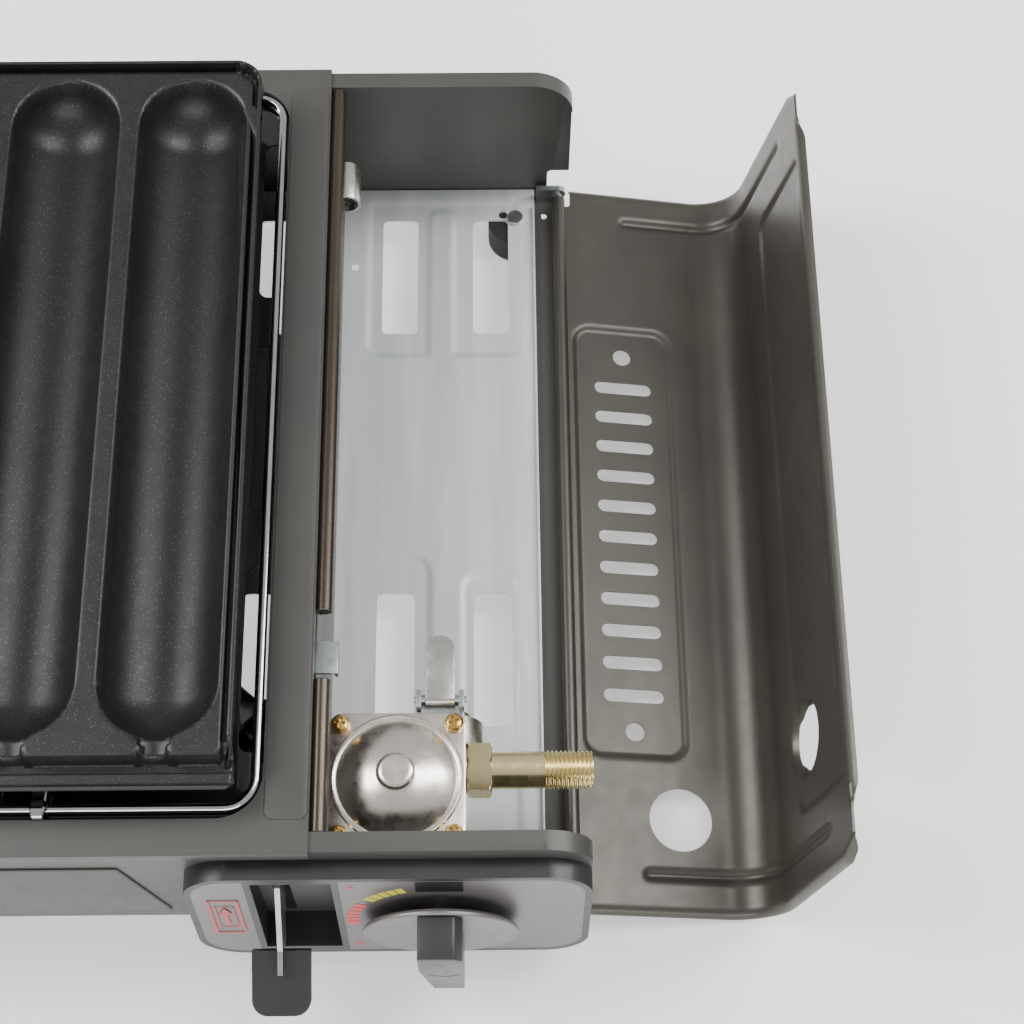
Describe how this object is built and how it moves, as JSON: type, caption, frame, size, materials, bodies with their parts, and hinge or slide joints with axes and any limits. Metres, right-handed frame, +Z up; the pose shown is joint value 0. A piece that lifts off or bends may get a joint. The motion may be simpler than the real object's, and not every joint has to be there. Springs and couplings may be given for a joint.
{
  "type": "camping stove",
  "caption": "Portable gas stove in a shallow steel box: sausage grill plate over the burner, hinged cover open over a cartridge bay, screwed brass gas inlet, dial and lock lever in front.",
  "frame": {"origin": "bottom centre of the whole stove's box in its rest pose, on the table under the rubber feet", "axes": "+X to the stove's right, towards the hinged cover; +Y from the control panel to the back; +Z up"},
  "size_m": [0.4252, 0.3126, 0.1103],
  "materials": {
    "body_paint": "satin powder coat",
    "cover_paint": "satin metallic powder coat",
    "frame_steel": "galvanised",
    "floor_steel": "galvanised",
    "wire_chrome": "plated wire",
    "tray_enamel": "gloss enamel",
    "plate_coating": "speckled non-stick coating on cast aluminium",
    "burner_steel": "pressed steel",
    "burner_brass": "heat-dulled",
    "cap_steel": "heat-blackened",
    "inlet_brass": "turned",
    "regulator_zinc": "nickel-plated die casting",
    "yellow_zinc": "yellow passivated",
    "bright_steel": "bright",
    "panel_plastic": "satin moulded",
    "knob_plastic": "satin moulded",
    "paddle_plastic": "satin moulded",
    "label_foil": "satin metallic foil",
    "foot_rubber": "matt",
    "lead_rubber": "silicone sleeve",
    "igniter_plastic": "moulded",
    "electrode_ceramic": "glazed"
  },
  "bodies": {
    "stove": {"body_shell": "body_paint", "top_panel": "body_paint", "divider_wall": "body_paint", "floor_plate": "floor_steel", "hinge_rod": "bright_steel", "hinge_brackets": "frame_steel", "feet": "foot_rubber", "foot_screws": "bright_steel", "drip_tray": "tray_enamel", "burner_base": "burner_steel", "burner_ring": "burner_brass", "burner_cap": "cap_steel", "mixing_tube": "burner_steel", "gas_jet": "inlet_brass", "jet_holder": "frame_steel", "gas_pipe": "inlet_brass", "burner_bracket": "frame_steel", "igniter": "igniter_plastic", "ignition_lead": "lead_rubber", "electrode_rod": "bright_steel", "electrode_insulator": "electrode_ceramic", "regulator_body": "regulator_zinc", "regulator_cover": "regulator_zinc", "regulator_screws": "yellow_zinc", "cartridge_nozzle": "inlet_brass", "inlet_nut": "inlet_brass", "inlet_pipe": "inlet_brass", "latch_bracket": "frame_steel", "latch_pin": "bright_steel", "spring_clip": "bright_steel", "control_panel": "panel_plastic", "label_left": "label_foil", "label_right": "label_foil", "panel_screws": "bright_steel", "lever_pin": "bright_steel", "lever_bracket": "frame_steel", "slide_guides": "frame_steel"},
    "cover": {"cover": "cover_paint"},
    "knob": {"knob": "knob_plastic", "valve_stem": "bright_steel"},
    "lock_lever": {"lever_arm": "frame_steel", "lever_paddle": "paddle_plastic"},
    "lock_slide": {"lock_slide": "frame_steel"},
    "latch_tab": {"latch_tab": "bright_steel"},
    "plate_support": {"wire_frame": "wire_chrome", "cross_wires": "wire_chrome"},
    "grill_plate": {"grill_plate": "plate_coating"}
  },
  "joints": [
    {"name": "cover_hinge", "type": "hinge", "parent": "stove", "child": "cover", "pos_m": [0.12915, 0.01773, 0.0192], "axis": [0, -1, 0], "range_deg": [0, 101]},
    {"name": "knob_turn", "type": "hinge", "parent": "stove", "child": "knob", "pos_m": [0.08735, -0.12977, 0.0426], "axis": [0, -1, 0], "range_deg": [0, 115]},
    {"name": "lever_swing", "type": "hinge", "parent": "stove", "child": "lock_lever", "pos_m": [0.03865, -0.11177, 0.0516], "axis": [-1, 0, 0], "range_deg": [0, 38]},
    {"name": "lock_slide_travel", "type": "slide", "parent": "stove", "child": "lock_slide", "axis": [0, 1, 0], "range_m": [0, 0.008]},
    {"name": "latch_tab_turn", "type": "hinge", "parent": "stove", "child": "latch_tab", "pos_m": [0.08755, -0.06677, 0.0676], "axis": [1, 0, 0], "range_deg": [0, 55]},
    {"name": "support_lift", "type": "slide", "parent": "stove", "child": "plate_support", "axis": [0, 0, 1], "range_m": [0, 0.04]},
    {"name": "plate_lift", "type": "slide", "parent": "plate_support", "child": "grill_plate", "axis": [0, 0, 1], "range_m": [0, 0.06]}
  ],
  "couplings": [
    {"joint": "lock_slide_travel", "follows": "lever_swing", "m_per_rad": 0.01206}
  ]
}
